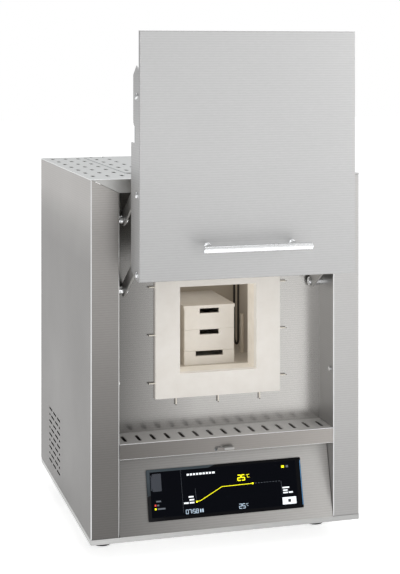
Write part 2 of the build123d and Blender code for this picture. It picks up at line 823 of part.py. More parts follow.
tray_levels = [
    ("sinter_box_low", tray_low_height, tray_low_window_width, 0),
    ("sinter_box_middle", tray_height, tray_window_width, tray_step),
    ("sinter_box_high", tray_height, tray_window_width, tray_step),
]
tray_z = chamber_floor_z
for tray_name, height, window_width, step in tray_levels:
    box_piece = tray(tray_z, height, window_width, step)
    save(box_piece, tray_name)
    tray_z += height

with BuildPart() as sinter_box_lid:
    with BuildSketch(Plane.XY.offset(tray_z)):
        with Locations((0, depth(tray_front_depth + tray_length / 2))):
            RectangleRounded(tray_width + 2 * tray_lid_overhang, tray_length, 1.5)
    extrude(amount=tray_lid_thickness)
save(sinter_box_lid, "sinter_box_lid")


# Door
def flange_outline():
    """Side view of a door flange: depth behind the door's face, and height above its lower edge."""
    notch_middle = pivot_z - door_closed_z
    notch_low = notch_middle - 13
    notch_high = notch_middle + 9
    return [
        (0, 0),
        (flange_depth * 0.3, 0),
        (flange_depth, 9),
        (flange_depth, notch_low),
        (flange_notch_depth + 5, notch_low),
        (flange_notch_depth, notch_low + 5),
        (flange_notch_depth, notch_high - 4),
        (flange_notch_depth + 4, notch_high),
        (flange_upper_depth - 4, notch_high),
        (flange_upper_depth, notch_high + 4),
        (flange_upper_depth, flange_top_height - 12),
        (flange_upper_depth / 2, flange_top_height),
        (door_return / 2, flange_top_height - 5),
        (door_return / 2, door_height),
        (0, door_height),
    ]


door_top_z = door_z + door_height
with BuildPart() as door_skin:
    with BuildSketch(Plane.XZ.offset(-door_front_y)):
        with Locations((0, door_z + door_height / 2)):
            RectangleRounded(door_width, door_height, door_corner_radius)
    extrude(amount=-sheet)
    for side in (-1, 1):
        with BuildSketch(Plane.YZ.offset(side * flange_x - (sheet if side > 0 else 0))):
            with BuildLine():
                Polyline(*[(door_front_y + y, door_z + z) for y, z in flange_outline()], close=True)
            make_face()
        extrude(amount=sheet)
    for z in (door_z, door_top_z - sheet):
        block((-flange_x + sheet, flange_x - sheet), (door_front_y, door_front_y + door_return),
              (z, z + sheet))
    face_edges = door_skin.edges().group_by(Axis.Y)[0]
    fillet(face_edges.filter_by(GeomType.LINE), sheet * 0.8)
save(door_skin, "door_skin")

with BuildPart() as door_brackets:
    for side in (-1, 1):
        inner_x = side * bracket_x - (bracket_thickness if side > 0 else 0)
        with BuildSketch(Plane.YZ.offset(inner_x)):
            with Locations((door_front_y + bracket_front + bracket_depth / 2, door_z + bracket_height / 2 + 2)):
                RectangleRounded(bracket_depth, bracket_height, 3)
        extrude(amount=bracket_thickness)
save(door_brackets, "door_brackets")

door_inner_y = door_front_y + sheet
plug_low_z = door_z + plug_rise
plug_back_y = door_front_y + (collar_y - front_y) - door_inset - plug_gap
with BuildPart() as door_plug:
    block((-plug_width / 2, plug_width / 2), (door_inner_y, plug_back_y),
          (plug_low_z, plug_low_z + plug_height))
    chamfer(door_plug.faces().sort_by(Axis.Y)[-1].edges(), 3)
save(door_plug, "door_plug")

with BuildPart() as plug_frame:
    with BuildSketch(Plane.XZ.offset(-door_inner_y)):
        with Locations((0, plug_low_z + plug_height / 2)):
            RectangleRounded(plug_width + 2 * sheet, plug_height + 2 * sheet, 1)
            Rectangle(plug_width, plug_height, mode=Mode.SUBTRACT)
    extrude(amount=-plug_frame_depth)
    with BuildSketch(Plane.XZ.offset(-door_inner_y)):
        with Locations((0, plug_low_z + plug_height / 2)):
            RectangleRounded(plug_width + 24, plug_height + 24, 3)
            Rectangle(plug_width, plug_height, mode=Mode.SUBTRACT)
    extrude(amount=-sheet)
save(plug_frame, "plug_frame")

handle_y = door_front_y - handle_stand_off
handle_z = door_z + handle_rise
with BuildPart() as handle_bar:
    rod((-handle_length / 2, handle_y, handle_z), (1, 0, 0), handle_radius, handle_length)
    chamfer(handle_bar.faces().filter_by(Axis.X).edges(), 0.8)
save(handle_bar, "handle_bar")

with BuildPart() as handle_posts:
    for side in (-1, 1):
        post_start = handle_y + (handle_radius**2 - handle_post_radius**2) ** 0.5 + 0.6
        rod((side * handle_post_spacing / 2, post_start, handle_z), (0, 1, 0),
            handle_post_radius, door_front_y - post_start)
        rod((side * handle_post_spacing / 2, door_front_y - 1.5, handle_z), (0, 1, 0),
            handle_post_radius + 1.5, 1.5)
        rod((side * handle_post_spacing / 2, handle_y, handle_z), (0, 1, 0),
            handle_post_radius, post_start - handle_y + 1)
    rod((-handle_length / 2, handle_y, handle_z), (1, 0, 0), handle_radius, handle_length,
        mode=Mode.SUBTRACT)
save(handle_posts, "handle_posts")

with BuildPart() as flange_bolts:
    for side in (-1, 1):
        for height in bolt_heights:
            centre = (side * flange_x, door_front_y + bolt_depth, door_z + height)
            rod(centre, (side, 0, 0), bolt_radius, bolt_head)
    fillet(flange_bolts.faces().filter_by(Axis.X).group_by(Axis.X)[0].edges(), bolt_head * 0.7)
    fillet(flange_bolts.faces().filter_by(Axis.X).group_by(Axis.X)[-1].edges(), bolt_head * 0.7)
save(flange_bolts, "flange_bolts")


# Arms of the parallel linkage: they swing about the pivots and carry the door on its pins
def arm(side, level):
    """One flat arm from its pivot in the recess to its pin on the door."""
    start = Vector(0, pivot_y, pivot_z + level)
    end = Vector(0, pin_y, pin_z + level)
    middle = (start + end) / 2
    angle = degrees(atan2(end.Z - start.Z, end.Y - start.Y))
    with BuildPart() as piece:
        with BuildSketch(Plane.YZ.offset(side * arm_x - (arm_thickness if side > 0 else 0))):
            with Locations((middle.Y, middle.Z)):
                SlotCenterToCenter(hypot(end.Y - start.Y, end.Z - start.Z), arm_width, rotation=angle)
            with Locations((start.Y, start.Z), (end.Y, end.Z)):
                Circle(pivot_radius + pivot_bore_clearance, mode=Mode.SUBTRACT)
        extrude(amount=arm_thickness)
        chamfer(piece.faces().sort_by(Axis.X)[-1 if side < 0 else 0].outer_wire().edges(), 0.6)
    return piece


arm_levels = (("lower", 0), ("upper", arm_spacing))
arm_sides = (("left", -1), ("right", 1))
for level_name, level in arm_levels:
    for side_name, side in arm_sides:
        save(arm(side, level), f"{level_name}_arm_{side_name}")

clip_gap = 0.3
clip_x = arm_x - arm_thickness - clip_gap
with BuildPart() as pivot_shafts:
    for side in (-1, 1):
        for _, level in arm_levels:
            wall = (side * recess_half_width, pivot_y, pivot_z + level)
            spacer_length = recess_half_width - arm_x - clip_gap
            rod(wall, (-side, 0, 0), pivot_radius, recess_half_width - clip_x + clip_thickness + 1)
            rod(wall, (-side, 0, 0), spacer_radius, spacer_length)
            for share in (0.35, 0.65):
                groove = Plane(origin=(side * (recess_half_width - share * spacer_length), pivot_y,
                                       pivot_z + level), z_dir=(-side, 0, 0))
                with BuildSketch(groove):
                    Circle(spacer_radius)
                    Circle(spacer_radius - 1, mode=Mode.SUBTRACT)
                extrude(amount=0.9, mode=Mode.SUBTRACT)
            rod((side * clip_x, pivot_y, pivot_z + level), (-side, 0, 0), clip_radius, clip_thickness)
save(pivot_shafts, "pivot_shafts")

with BuildPart() as door_pins:
    for side in (-1, 1):
        for _, level in arm_levels:
            inner = (side * (bracket_x - bracket_thickness), pin_y, pin_z + level)
            rod(inner, (-side, 0, 0), pivot_radius,
                bracket_x - bracket_thickness - clip_x + clip_thickness + 1)
            rod(inner, (-side, 0, 0), spacer_radius, arm_gap - clip_gap)
            rod((side * clip_x, pin_y, pin_z + level), (-side, 0, 0), clip_radius, clip_thickness)
save(door_pins, "door_pins")

with BuildPart() as door_switch:
    switch_low_z = pivot_z + arm_spacing + spacer_radius + 1
    block((-recess_half_width, -recess_half_width + door_switch_size[0]),
          (recess_y - sheet - door_switch_size[1], recess_y - sheet),
          (switch_low_z, switch_low_z + door_switch_size[2]))
    fillet(door_switch.edges().filter_by(Axis.X), 1.5)
save(door_switch, "door_switch")

# Electrical bay: transformer, power controller and cooling fan
def upright_block(place, size, low_z, mode=Mode.ADD):
    """A block given by the middle of its footprint, its size and the height it stands at."""
    x, y = place[0], depth(place[1])
    block((x - size[0] / 2, x + size[0] / 2), (y - size[1] / 2, y + size[1] / 2),
          (low_z, low_z + size[2]), mode)


with BuildPart() as transformer:
    upright_block(transformer_place, transformer_size, base_top_z)
    window_shift = transformer_size[0] / 4
    window_size = (transformer_size[0] / 4, transformer_size[1], transformer_size[2] - 2 * transformer_limb)
    for side in (-1, 1):
        upright_block((transformer_place[0] + side * window_shift, transformer_place[1]), window_size,
                      base_top_z + transformer_limb, Mode.SUBTRACT)
save(transformer, "transformer")

with BuildPart() as transformer_coil:
    coil_z = base_top_z + (transformer_size[2] - coil_size[2]) / 2
    upright_block(transformer_place, coil_size, coil_z)
    core_limb = (transformer_size[0] / 4, transformer_size[1], coil_size[2])
    upright_block(transformer_place, core_limb, coil_z, Mode.SUBTRACT)
save(transformer_coil, "transformer_coil")

with BuildPart() as power_controller:
    upright_block(heat_sink_place, (*heat_sink_size, heat_sink_base), base_top_z)
    fin_pitch = (heat_sink_size[0] - fin_thickness) / (fin_count - 1)
    for n in range(fin_count):
        fin_x = heat_sink_place[0] + (n - (fin_count - 1) / 2) * fin_pitch
        upright_block((fin_x, heat_sink_place[1]), (fin_thickness, heat_sink_size[1], heat_sink_height),
                      base_top_z)
    upright_block(heat_sink_place, thyristor_size, base_top_z + heat_sink_height)
save(power_controller, "power_controller")

fan_back_y = back_y - sheet
fan_plane = Plane.XZ.offset(-fan_back_y)
with BuildPart() as fan_frame:
    with BuildSketch(fan_plane):
        with Locations((fan_x, fan_z)):
            RectangleRounded(fan_size, fan_size, 4)
            Circle(fan_bore_radius, mode=Mode.SUBTRACT)
    extrude(amount=fan_depth)
    with BuildSketch(fan_plane.offset(fan_depth)):
        with Locations((fan_x, fan_z)):
            Circle(fan_hub_radius - 1)
            with PolarLocations((fan_bore_radius + fan_hub_radius) / 2, 4, start_angle=45):
                Rectangle(fan_bore_radius - fan_hub_radius + 4, 4)
    extrude(amount=-3)
    rod((fan_x, fan_back_y - fan_depth + 3, fan_z), (0, 1, 0), 3, 14)
save(fan_frame, "fan_frame")

with BuildPart() as fan_rotor:
    rotor_plane = fan_plane.offset(fan_depth - 4)
    with BuildSketch(rotor_plane):
        with Locations((fan_x, fan_z)):
            Circle(fan_hub_radius)
    extrude(amount=-(fan_depth - 8))
    with BuildSketch(rotor_plane.offset(-2)):
        with Locations((fan_x, fan_z)):
            blade_tip = fan_bore_radius - fan_tip_gap
            blade_root = fan_hub_radius - 1
            with PolarLocations((blade_tip + blade_root) / 2, fan_blades):
                Rectangle(blade_tip - blade_root, 3)
    extrude(amount=-(fan_depth - 12))
    rod((fan_x, fan_back_y - fan_depth + 3.5, fan_z), (0, 1, 0), 3 + pivot_bore_clearance, 14,
        mode=Mode.SUBTRACT)
save(fan_rotor, "fan_rotor")

# Mains socket and rocker switch on the back panel
with BuildPart() as mains_socket:
    with BuildSketch(Plane.XZ.offset(-back_y)):
        with Locations((socket_x, socket_z)):
            RectangleRounded(*inlet_plate, 3)
    extrude(amount=-socket_plate_thickness)
    with BuildSketch(Plane.XZ.offset(-back_y)):
        with Locations((socket_x, socket_z)):
            Rectangle(inlet_plate[0] - 18, inlet_plate[1] - 8)
    extrude(amount=24)
    with BuildSketch(Plane.XZ.offset(-(back_y + socket_plate_thickness))):
        with Locations((socket_x, socket_z)):
            RectangleRounded(inlet_plate[0] - 24, inlet_plate[1] - 12, 3)
    extrude(amount=18, mode=Mode.SUBTRACT)
    for pin in (-7, 0, 7):
        with Locations((socket_x + pin, back_y - 9, socket_z + (3 if pin == 0 else -1))):
            Box(2, 14, 4)
save(mains_socket, "mains_socket")

rocker_y = back_y + socket_plate_thickness - 3
with BuildPart() as switch_housing:
    with BuildSketch(Plane.XZ.offset(-back_y)):
        with Locations((switch_x, socket_z)):
            RectangleRounded(*switch_plate, 2)
    extrude(amount=-socket_plate_thickness)
    with BuildSketch(Plane.XZ.offset(-back_y)):
        with Locations((switch_x, socket_z)):
            Rectangle(switch_plate[0] - 8, switch_plate[1] - 6)
    extrude(amount=22)
    with BuildSketch(Plane.XZ.offset(-(back_y + socket_plate_thickness))):
        with Locations((switch_x, socket_z)):
            Rectangle(rocker_width + 1, 2 * rocker_radius + 1)
    extrude(amount=14, mode=Mode.SUBTRACT)
    rod((switch_x - rocker_width / 2 - 0.5, rocker_y, socket_z), (1, 0, 0), 1.5, rocker_width + 1)
save(switch_housing, "switch_housing")

with BuildPart() as power_rocker:
    with BuildSketch(Plane.YZ.offset(switch_x - rocker_width / 2)):
        with Locations((rocker_y, socket_z)):
            Circle(rocker_radius)
            Circle(1.5 + pivot_bore_clearance, mode=Mode.SUBTRACT)
        cut = rocker_radius * 2
        rise = 3 + 0.2 - socket_plate_thickness
        with BuildLine():
            lean = tan(radians(rocker_tilt))
            Polyline((rocker_y + rise, socket_z), (rocker_y + rise + cut * lean, socket_z + cut),
                     (rocker_y + cut, socket_z + cut), (rocker_y + cut, socket_z - cut),
                     (rocker_y + rise + cut * lean, socket_z - cut), close=True)
        make_face(mode=Mode.SUBTRACT)
    extrude(amount=rocker_width)
save(power_rocker, "power_rocker")

# Screws: three on each edge of the back panel, and a stop screw on each wall of the recess
with BuildPart() as panel_screws:
    for side in (-1, 1):
        for z in (base_top_z + 14, (base_top_z + top_z) / 2, top_z - 20):
            rod((side * (half_width - 9), back_y, z), (0, 1, 0), 3, 1.6)
        rod((side * recess_half_width, depth(stop_screw_depth), floor_z + stop_screw_height),
            (-side, 0, 0), stop_screw_radius, 2)
save(panel_screws, "panel_screws")
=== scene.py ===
# %% [markdown]
# A bench-top sintering furnace is a box of brushed stainless sheet with a recess in its front. A
# lift door hangs in front of the recess on two pairs of arms. A pale fibre collar frames the hot
# chamber, a slotted shelf runs below it, and a black glass display sits on the sloping fascia.
#
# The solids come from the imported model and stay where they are. They could be modelled again here,
# but they already have the right shapes, joints and names. So this script gives each of them a
# material, draws the thin marks on the display, and sets up the camera, light and floor.

import math

import bmesh
import bpy
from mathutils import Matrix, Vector


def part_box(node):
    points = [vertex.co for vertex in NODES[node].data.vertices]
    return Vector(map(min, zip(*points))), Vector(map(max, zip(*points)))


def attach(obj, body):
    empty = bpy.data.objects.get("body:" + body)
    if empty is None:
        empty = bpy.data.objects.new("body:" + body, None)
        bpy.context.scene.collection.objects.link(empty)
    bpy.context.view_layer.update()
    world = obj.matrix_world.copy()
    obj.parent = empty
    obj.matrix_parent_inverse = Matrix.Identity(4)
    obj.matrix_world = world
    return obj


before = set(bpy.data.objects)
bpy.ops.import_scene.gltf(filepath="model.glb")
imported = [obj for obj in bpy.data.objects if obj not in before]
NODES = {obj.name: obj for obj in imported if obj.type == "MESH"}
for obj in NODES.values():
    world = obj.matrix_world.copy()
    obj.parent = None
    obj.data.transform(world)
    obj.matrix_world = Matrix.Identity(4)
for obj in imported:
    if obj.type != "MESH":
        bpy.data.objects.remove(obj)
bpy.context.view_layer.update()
MM = 0.001


# %% [markdown]
# The looks depend on a few places of the casing. They could be typed in, but taken from the boxes
# of the solids they follow if the model is packed again.

# %% Places taken from the solids
CASING_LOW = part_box("base_pan")[0]
FRONT_Y = CASING_LOW.y
LEFT_X = CASING_LOW.x
FOOT_HEIGHT = CASING_LOW.z
COLLAR_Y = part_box("insulation_collar")[0].y
X, Y, Z = 0, 1, 2
print("The casing starts at", tuple(CASING_LOW), "and the collar at depth", COLLAR_Y)


# %% [markdown]
# A hex colour picked on a screen is sRGB, but Blender shades in linear light. Each hex value is
# turned to linear light once, by the sRGB formula. Linear numbers could be written instead, but hex
# values are easier to read and to compare with a photograph.

# %% Colours as linear light
CHANNEL_FULL = 255
SRGB_TOE = 0.04045
SRGB_TOE_SLOPE = 12.92
SRGB_OFFSET = 0.055
SRGB_GAMMA = 2.4


def linear_channel(share):
    """Linear light of one sRGB channel, both from 0 to 1."""
    if share <= SRGB_TOE:
        return share / SRGB_TOE_SLOPE
    return ((share + SRGB_OFFSET) / (1 + SRGB_OFFSET)) ** SRGB_GAMMA


def linear(hex_colour):
    """Opaque linear RGBA of an sRGB hex colour."""
    channels = [int(hex_colour[i : i + 2], 16) / CHANNEL_FULL for i in (1, 3, 5)]
    return [linear_channel(share) for share in channels] + [1.0]


# %% [markdown]
# A material is a small graph of shader nodes. It could be wired by hand in the shader editor. A few
# helpers that add, set and link nodes do the same, and let one recipe serve many materials.

# %% Helpers that add and link nodes
MIX_FACTOR, MIX_A, MIX_B, MIX_RESULT = 0, 6, 7, 2


def new_material(name):
    """A material with its node tree and its Principled shader."""
    material = bpy.data.materials.new(name)
    material.use_nodes = True
    print("Made the material", name)
    return material, material.node_tree, material.node_tree.nodes["Principled BSDF"]


def plug(tree, socket, value):
    """Link a socket from an output, or set it to a constant; text is a hex colour."""
    if isinstance(value, bpy.types.NodeSocket):
        tree.links.new(value, socket)
    elif isinstance(value, str):
        socket.default_value = linear(value)
    else:
        socket.default_value = value


def add(tree, kind, inputs=None, **settings):
    """Add a node with its settings and inputs."""
    node = tree.nodes.new(kind)
    for key, value in settings.items():
        setattr(node, key, value)
    for key, value in (inputs or {}).items():
        plug(tree, node.inputs[key], value)
    return node


def set_shader(tree, shader, **inputs):
    """Set or link inputs of the Principled shader; names use _ for spaces."""
    for key, value in inputs.items():
        plug(tree, shader.inputs[key.replace("_", " ")], value)


def scalar(tree, operation, a, b=0.0):
    """One arithmetic step on numbers or sockets."""
    return add(tree, "ShaderNodeMath", {0: a, 1: b}, operation=operation).outputs[0]


def mix_colour(tree, factor, a, b, blend="MIX"):
    """Mix two colours, each a socket, a hex colour or linear RGBA."""
    node = add(tree, "ShaderNodeMix", {MIX_FACTOR: factor, MIX_A: a, MIX_B: b},
               data_type="RGBA", blend_type=blend)
    return node.outputs[MIX_RESULT]


# %% [markdown]
# A look often changes with the place on the piece or with the way the surface faces. Object
# coordinates stay with the piece when it moves, which world coordinates don't, so all places come
# from them.

# %% Helpers for places, steps and relief
def object_position(tree, scale=(1, 1, 1)):
    """Object coordinates, scaled, as an output socket."""
    coordinates = add(tree, "ShaderNodeTexCoord")
    mapping = add(tree, "ShaderNodeMapping", {"Vector": coordinates.outputs["Object"], "Scale": scale})
    return mapping.outputs["Vector"]


def object_axis(tree, axis):
    """One object coordinate in metres, as an output socket."""
    return add(tree, "ShaderNodeSeparateXYZ", {0: object_position(tree)}).outputs[axis]


def between(tree, value, low, high, top=1.0):
    """0 up to low, rising to top at high, and level after it."""
    node = add(tree, "ShaderNodeMapRange", {
        "Value": value, "From Min": low, "From Max": high, "To Max": top})
    return node.outputs["Result"]


def ramp(tree, factor, stops):
    """A colour ramp: stops are pairs of position and colour, as hex or linear RGBA."""
    node = add(tree, "ShaderNodeValToRGB", {"Fac": factor})
    elements = node.color_ramp.elements
    while len(elements) < len(stops):
        elements.new(0.5)
    for element, (position, colour) in zip(elements, stops):
        element.position = position
        element.color = linear(colour) if isinstance(colour, str) else colour
    return node.outputs["Color"]


def bump(tree, shader, height, strength, distance):
    """Small surface relief from a height socket."""
    node = add(tree, "ShaderNodeBump", {"Height": height, "Strength": strength, "Distance": distance})
    tree.links.new(node.outputs["Normal"], shader.inputs["Normal"])


# %% [markdown]
# Sheet metal mirrors the studio softly, so its tone drifts across a panel, its front edge has
# another tone than its side, and a rounded fold catches the light. A studio built to give just these
# reflections would be large and hard to steer, so they are painted into the colour: slow shares
# along an axis multiply it into painted shade, and mixing by the way the surface faces gives a
# painted front tone and a painted highlight on each fold.

# %% Helpers for painted shade and highlights on sheet
FRONT_FACING = (0.5, 0.8)
FOLD_FACING = (0.3, 0.45)
# The colour of the painted highlight on a rounded fold.
FOLD_HIGHLIGHT_COLOUR = "#F2F3F4"


def shade_along(tree, base, axis, stops):
    """Multiply a colour by shares that change along an axis; stops are (metres, share)."""
    low, high = stops[0][0], stops[-1][0]
    greys = [((place - low) / (high - low), (share, share, share, 1)) for place, share in stops]
    shares = ramp(tree, between(tree, object_axis(tree, axis), low, high), greys)
    return mix_colour(tree, 1.0, base, shares, blend="MULTIPLY")


def facing(tree):
    """The three parts of the surface normal, as output sockets."""
    normal = add(tree, "ShaderNodeTexCoord").outputs["Normal"]
    return add(tree, "ShaderNodeSeparateXYZ", {0: normal}).outputs


def front_share(tree):
    """1 where the surface faces -Y, and 0 where it faces another way."""
    return between(tree, scalar(tree, "MULTIPLY", facing(tree)[Y], -1.0), *FRONT_FACING)


def fold_share(tree, first, second):
    """1 on the rounded fold between two axes, and 0 on the flats beside it."""
    normal = facing(tree)
    product = scalar(tree, "MULTIPLY", normal[first], normal[second])
    return between(tree, scalar(tree, "ABSOLUTE", product), *FOLD_FACING)


# %% [markdown]
# The sheets are linen-rolled stainless: fine level ribs with faint cloudy patches. The ribs could be
# modelled, but at a few millimetres apart they only show as thin lines and a soft, wide highlight.
# A stretched noise, a wave and a slow noise give the same, and one recipe with its own tones serves
# every sheet.

# %% Recipe for stainless sheet
RIB_PITCH = 3.2 * MM
WAVE_RADIANS = 20
LINE_SCALE_ALONG = 150
LINE_SCALE_ACROSS = 1200
CLOUD_SCALE = 5
LINE_TONE, RIB_TONE, CLOUD_TONE = 0.6, 0.3, 0.2
LINE_RELIEF, RIB_RELIEF = 0.5, 0.5
CLOUD_ROUGHNESS = 0.12


def sheet_pattern(tree, rib_axis):
    """Fine lines, ribs and clouds of the rolled sheet, as output sockets."""
    fine = [LINE_SCALE_ALONG] * 3
    fine["XYZ".index(rib_axis)] = LINE_SCALE_ACROSS
    lines = add(tree, "ShaderNodeTexNoise", {
        "Vector": object_position(tree, fine), "Scale": 1.0, "Detail": 3.0, "Roughness": 0.6})
    clouds = add(tree, "ShaderNodeTexNoise", {
        "Vector": object_position(tree, [CLOUD_SCALE] * 3), "Scale": 1.0, "Detail": 4.0,
        "Roughness": 0.55})
    ribs = add(tree, "ShaderNodeTexWave", {
        "Vector": object_position(tree), "Scale": math.tau / (WAVE_RADIANS * RIB_PITCH),
        "Distortion": 0.6, "Detail": 1.0}, bands_direction=rib_axis, wave_type="BANDS")
    return lines.outputs["Fac"], ribs.outputs["Fac"], clouds.outputs["Fac"]


def weighted(tree, first, first_weight, second, second_weight):
    """The sum of two sockets, each times its weight."""
    return scalar(tree, "ADD", scalar(tree, "MULTIPLY", first, first_weight),
                  scalar(tree, "MULTIPLY", second, second_weight))


def stainless(name, light, dark, roughness, rib_axis="Z", metallic=1.0, shades=(), fold=None,
              front=None):
    """Rolled sheet. shades are (axis, stops) pairs of painted shade. fold names the two axes whose
    rounded fold gets a painted highlight. front is the painted tone and shades of the face towards -Y."""
    material, tree, shader = new_material(name)
    lines, ribs, clouds = sheet_pattern(tree, rib_axis)
    base = mix_colour(tree, weighted(tree, lines, LINE_TONE, ribs, RIB_TONE), dark, light)
    base = mix_colour(tree, scalar(tree, "MULTIPLY", clouds, CLOUD_TONE), base, dark)
    plain_base = base
    for axis, stops in shades:
        base = shade_along(tree, base, axis, stops)
    if front:
        tone, front_shades = front
        front_base = mix_colour(tree, 1.0, plain_base, tone, blend="MULTIPLY")
        for axis, stops in front_shades:
            front_base = shade_along(tree, front_base, axis, stops)
        base = mix_colour(tree, front_share(tree), base, front_base)
    if fold:
        base = mix_colour(tree, fold_share(tree, *fold), base, FOLD_HIGHLIGHT_COLOUR)
    rough = scalar(tree, "ADD", scalar(tree, "MULTIPLY", clouds, CLOUD_ROUGHNESS),
                   roughness - CLOUD_ROUGHNESS / 2)
    set_shader(tree, shader, Base_Color=base, Metallic=metallic, Roughness=rough)
    relief = weighted(tree, ribs, RIB_RELIEF, lines, LINE_RELIEF)
    bump(tree, shader, relief, strength=0.12, distance=0.2 * MM)
    return material


# %% [markdown]
# The sheets are one stainless, and their tones differ from sheet to sheet as painted light and
# shade. The door is painted light all over, because it stands forward in the light, with painted
# shade towards its left and its foot. The left side gets painted shade that darkens towards its
# foot, and so do the pillars beside the recess, the right side, a little, and the base, towards the
# right. The front face of the top cover is painted darker than its top, and the folds get a
# painted highlight. Each list below holds places in metres along one axis and how much of the
# tone is left there.

# %% Door and casing sheets, with painted shade and highlights
DOOR_SHADE_ACROSS = (X, [(-0.15, 0.82), (0.0, 0.93), (0.15, 1.0)])
DOOR_SHADE_UP = (Z, [(0.39, 0.86), (0.55, 0.97), (0.71, 1.0)])
LEFT_SHADE_UP = (Z, [(0.03, 0.36), (0.3, 0.4), (0.4, 0.43), (0.44, 0.6), (0.48, 0.92), (0.52, 1.0)])
PILLAR_SHADE_UP = (Z, [(0.03, 0.33), (0.15, 0.36), (0.3, 0.53), (0.45, 0.68), (0.5, 0.86)])
RIGHT_SHADE_UP = (Z, [(0.03, 0.68), (0.3, 0.85), (0.5, 0.96)])
PAN_SHADE_ACROSS = (X, [(-0.19, 1.0), (0.19, 0.78)])

door_steel = stainless("Linen_stainless_door", light="#CBCBCB", dark="#B2B2B2", roughness=0.42,
                       front=("#FFFFFF", [DOOR_SHADE_ACROSS, DOOR_SHADE_UP]))
side_steel = stainless("Linen_stainless_left", light="#BBB8B5", dark="#A29F9C", roughness=0.38,
                       shades=[LEFT_SHADE_UP], fold=(X, Y), front=("#F2F2F2", [PILLAR_SHADE_UP]))
right_steel = stainless("Linen_stainless_right", light="#C6C5C4", dark="#AFAEAD", roughness=0.40,
                        shades=[RIGHT_SHADE_UP], fold=(X, Y))
top_steel = stainless("Linen_stainless_top", light="#F5F7F7", dark="#E1E3E3", roughness=0.42,
                      rib_axis="Y", fold=(Y, Z), front=("#C0BEBC", []))
pan_steel = stainless("Linen_stainless_base", light="#C4C4C3", dark="#B0B0AF", roughness=0.35,
                      shades=[PAN_SHADE_ACROSS])

# %% [markdown]
# The recess, the shelf and the fascia get painted shade that darkens them towards the left pillar.
# The shelf's top is painted pale, because it mirrors the light above, its lip is painted darker, and
# its fold gets a painted highlight. All of it could come from real shadows, but painted shade is
# quicker to render and stays free of noise.

# %% Sheets inside the recess and below it, with painted shade
WALL_SHADE_ACROSS = (X, [(-0.15, 0.22), (-0.03, 0.72), (0.15, 0.9)])
SHELF_SHADE_ACROSS = (X, [(-0.15, 0.8), (0.15, 1.0)])
LIP_SHADE_ACROSS = (X, [(-0.15, 0.33), (0.15, 1.0)])
FASCIA_SHADE_ACROSS = (X, [(-0.16, 0.3), (0.14, 1.0)])

wall_steel = stainless("Linen_stainless_recess", light="#C9C7C4", dark="#AFADAA", roughness=0.24,
                       shades=[WALL_SHADE_ACROSS])
shelf_steel = stainless("Linen_stainless_shelf", light="#F4F2F0", dark="#E2E0DE", roughness=0.3,
                        metallic=0.6, shades=[SHELF_SHADE_ACROSS], fold=(Y, Z),
                        front=("#A5A29F", [LIP_SHADE_ACROSS]))
fascia_steel = stainless("Linen_stainless_fascia", light="#BDBBB9", dark="#A3A19E", roughness=0.40,
                         shades=[FASCIA_SHADE_ACROSS])
arm_steel = stainless("Brushed_stainless_arms", light="#B4B2AF", dark="#9C9A97", roughness=0.4,
                      metallic=0.4)

# %% [markdown]
# Bars, bolts, plastic, rubber and fired ceramic are even materials. A single colour and roughness
# would do from afar, but nothing real is perfectly even, so a slow noise varies the roughness a
# little, and some painted, moulded and rubber pieces also get a fine grain.

# %% Even materials
GRAIN_SCALE = 900
UNEVEN_SCALE = 40
UNEVEN_ROUGHNESS = 0.08
PIN_COLOUR = "#E6DFD2"


def plain(name, colour, roughness, metallic=0.0, grain=0.0):
    """A smooth material with a slight unevenness and, if asked, a fine grain."""
    material, tree, shader = new_material(name)
    slow = add(tree, "ShaderNodeTexNoise", {
        "Vector": object_position(tree), "Scale": UNEVEN_SCALE, "Detail": 2.0})
    rough = scalar(tree, "ADD", scalar(tree, "MULTIPLY", slow.outputs["Fac"], UNEVEN_ROUGHNESS),
                   roughness - UNEVEN_ROUGHNESS / 2)
    set_shader(tree, shader, Base_Color=colour, Metallic=metallic, Roughness=rough)
    if grain:
        noise = add(tree, "ShaderNodeTexNoise", {
            "Vector": object_position(tree), "Scale": GRAIN_SCALE, "Detail": 3.0})
        bump(tree, shader, noise.outputs["Fac"], strength=grain, distance=0.3 * MM)
    return material


zinc = plain("Zinc_plated_steel", "#9EA2A4", roughness=0.42, metallic=1.0)
bright = plain("Satin_stainless_bar", "#F6F7F8", roughness=0.26, metallic=1.0)
slider_steel = plain("Stamped_lever_steel", "#A3A2A0", roughness=0.45, metallic=0.5)
bolt_steel = plain("Bright_bolt_steel", "#D9DADB", roughness=0.18, metallic=1.0)
aluminium = plain("Mill_aluminium", "#C2C5C8", roughness=0.38, metallic=1.0)
copper = plain("Enamelled_copper", "#8C4A22", roughness=0.35, metallic=1.0)
element_metal = plain("Molybdenum_silicide_loop", "#2E2A25", roughness=0.55, metallic=0.3)
black_paint = plain("Black_painted_steel", "#1E1E1E", roughness=0.5, grain=0.1)
black_plastic = plain("Black_ABS", "#17181A", roughness=0.45, grain=0.15)
rubber = plain("Black_rubber_foot", "#1B1B1B", roughness=0.75, grain=0.3)
dark_plastic = plain("Anthracite_flap", "#1D2430", roughness=0.35)
pin_ceramic = plain("Alumina_pin", PIN_COLOUR, roughness=0.6)
holder_ceramic = plain("Alumina_holder", "#E2DACB", roughness=0.6)
tube_ceramic = plain("Mullite_tube", "#D8CFC0", roughness=0.55)

# %% [markdown]
# The chamber is lined with pressed ceramic fibre: matte, faintly mottled and soft to look at. Deeper
# inside, the boards are painted darker and browner, as painted shade. Light bounces many times
# between such pale boards. A render with few bounces loses much of it, so the boards give off a
# faint painted glow of their own in its place.

# %% Fibre boards and sintering boxes
MOTTLE_DARK, MOTTLE_LIGHT = 0.3, 0.7


